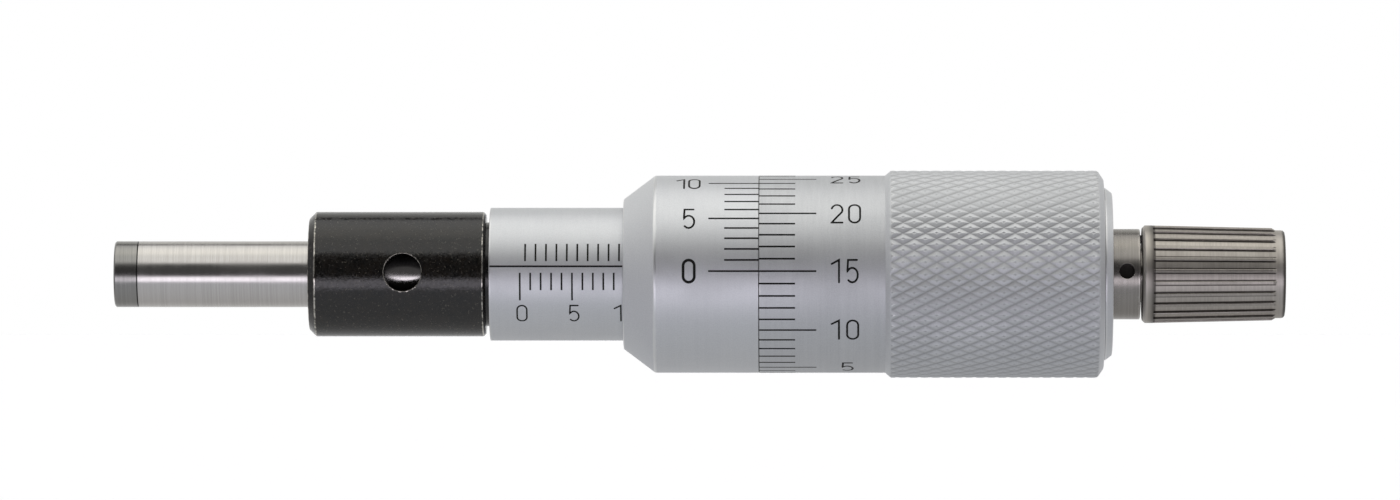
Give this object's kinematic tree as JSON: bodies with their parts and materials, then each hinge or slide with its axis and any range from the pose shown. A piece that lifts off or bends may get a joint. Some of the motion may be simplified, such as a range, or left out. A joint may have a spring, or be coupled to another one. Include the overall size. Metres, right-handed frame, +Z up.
{
  "type": "micrometer head",
  "caption": "Micrometer head with a plain stem, sliding vernier sleeve, graduated thimble with knurled grip and ratchet stop.",
  "frame": {"origin": "on the spindle's axis, at the rear end of the clamping stem's full diameter", "axes": "+X along the axis towards the ratchet knob, -X towards the measuring face; -Y is the front, where the scales are read; +Z up"},
  "size_m": [0.1126, 0.02, 0.02],
  "materials": {
    "black_oxide_steel": "black oxide, satin, worn bright at its edges",
    "satin_chrome": "matt satin chrome",
    "ground_steel": "fine ground all round",
    "carbide": "ground and lapped hard metal",
    "warm_stainless": "turned, satin, warm grey",
    "bright_steel": "turned, bright",
    "spring_steel": "drawn wire, dull",
    "black_paint": "black filling of engraved marks"
  },
  "bodies": {
    "barrel": {"stem_barrel": "black_oxide_steel", "graduated_sleeve": "satin_chrome", "sleeve_scale_marks": "black_paint", "adjusting_nut": "bright_steel"},
    "vernier_carriage": {"vernier_sleeve": "satin_chrome", "vernier_scale_marks": "black_paint", "guide_key": "bright_steel", "key_screws": "bright_steel", "retaining_ring": "spring_steel"},
    "spindle_group": {"spindle": "ground_steel", "carbide_tip": "carbide", "thimble": "satin_chrome", "thimble_scale_marks": "black_paint", "end_hub": "satin_chrome", "ratchet_neck": "warm_stainless", "ratchet_spring": "spring_steel", "knob_washer": "bright_steel", "ratchet_screw": "bright_steel"},
    "ratchet_pawl": {"ratchet_pawl": "spring_steel"},
    "ratchet_knob": {"ratchet_knob": "warm_stainless"}
  },
  "joints": [
    {"name": "feed_slide", "type": "slide", "parent": "barrel", "child": "vernier_carriage", "axis": [1, 0, 0], "range_m": [-0.00965, 0.01535]},
    {"name": "thimble_turn", "type": "hinge", "parent": "vernier_carriage", "child": "spindle_group", "pos_m": [0, 0, 0], "axis": [1, 0, 0], "range_deg": [-6948, 11052]},
    {"name": "ratchet_turn", "type": "hinge", "parent": "spindle_group", "child": "ratchet_knob", "pos_m": [0.0632, 0, 0], "axis": [1, 0, 0], "continuous": true},
    {"name": "pawl_slide", "type": "slide", "parent": "spindle_group", "child": "ratchet_pawl", "axis": [1, 0, 0], "range_m": [-0.0004, 0], "stiffness_N_per_m": 400, "springref_m": 0.0005, "deforming": ["ratchet_spring"]}
  ],
  "couplings": [
    {"joint": "thimble_turn", "follows": "feed_slide", "rad_per_m": 12566}
  ]
}
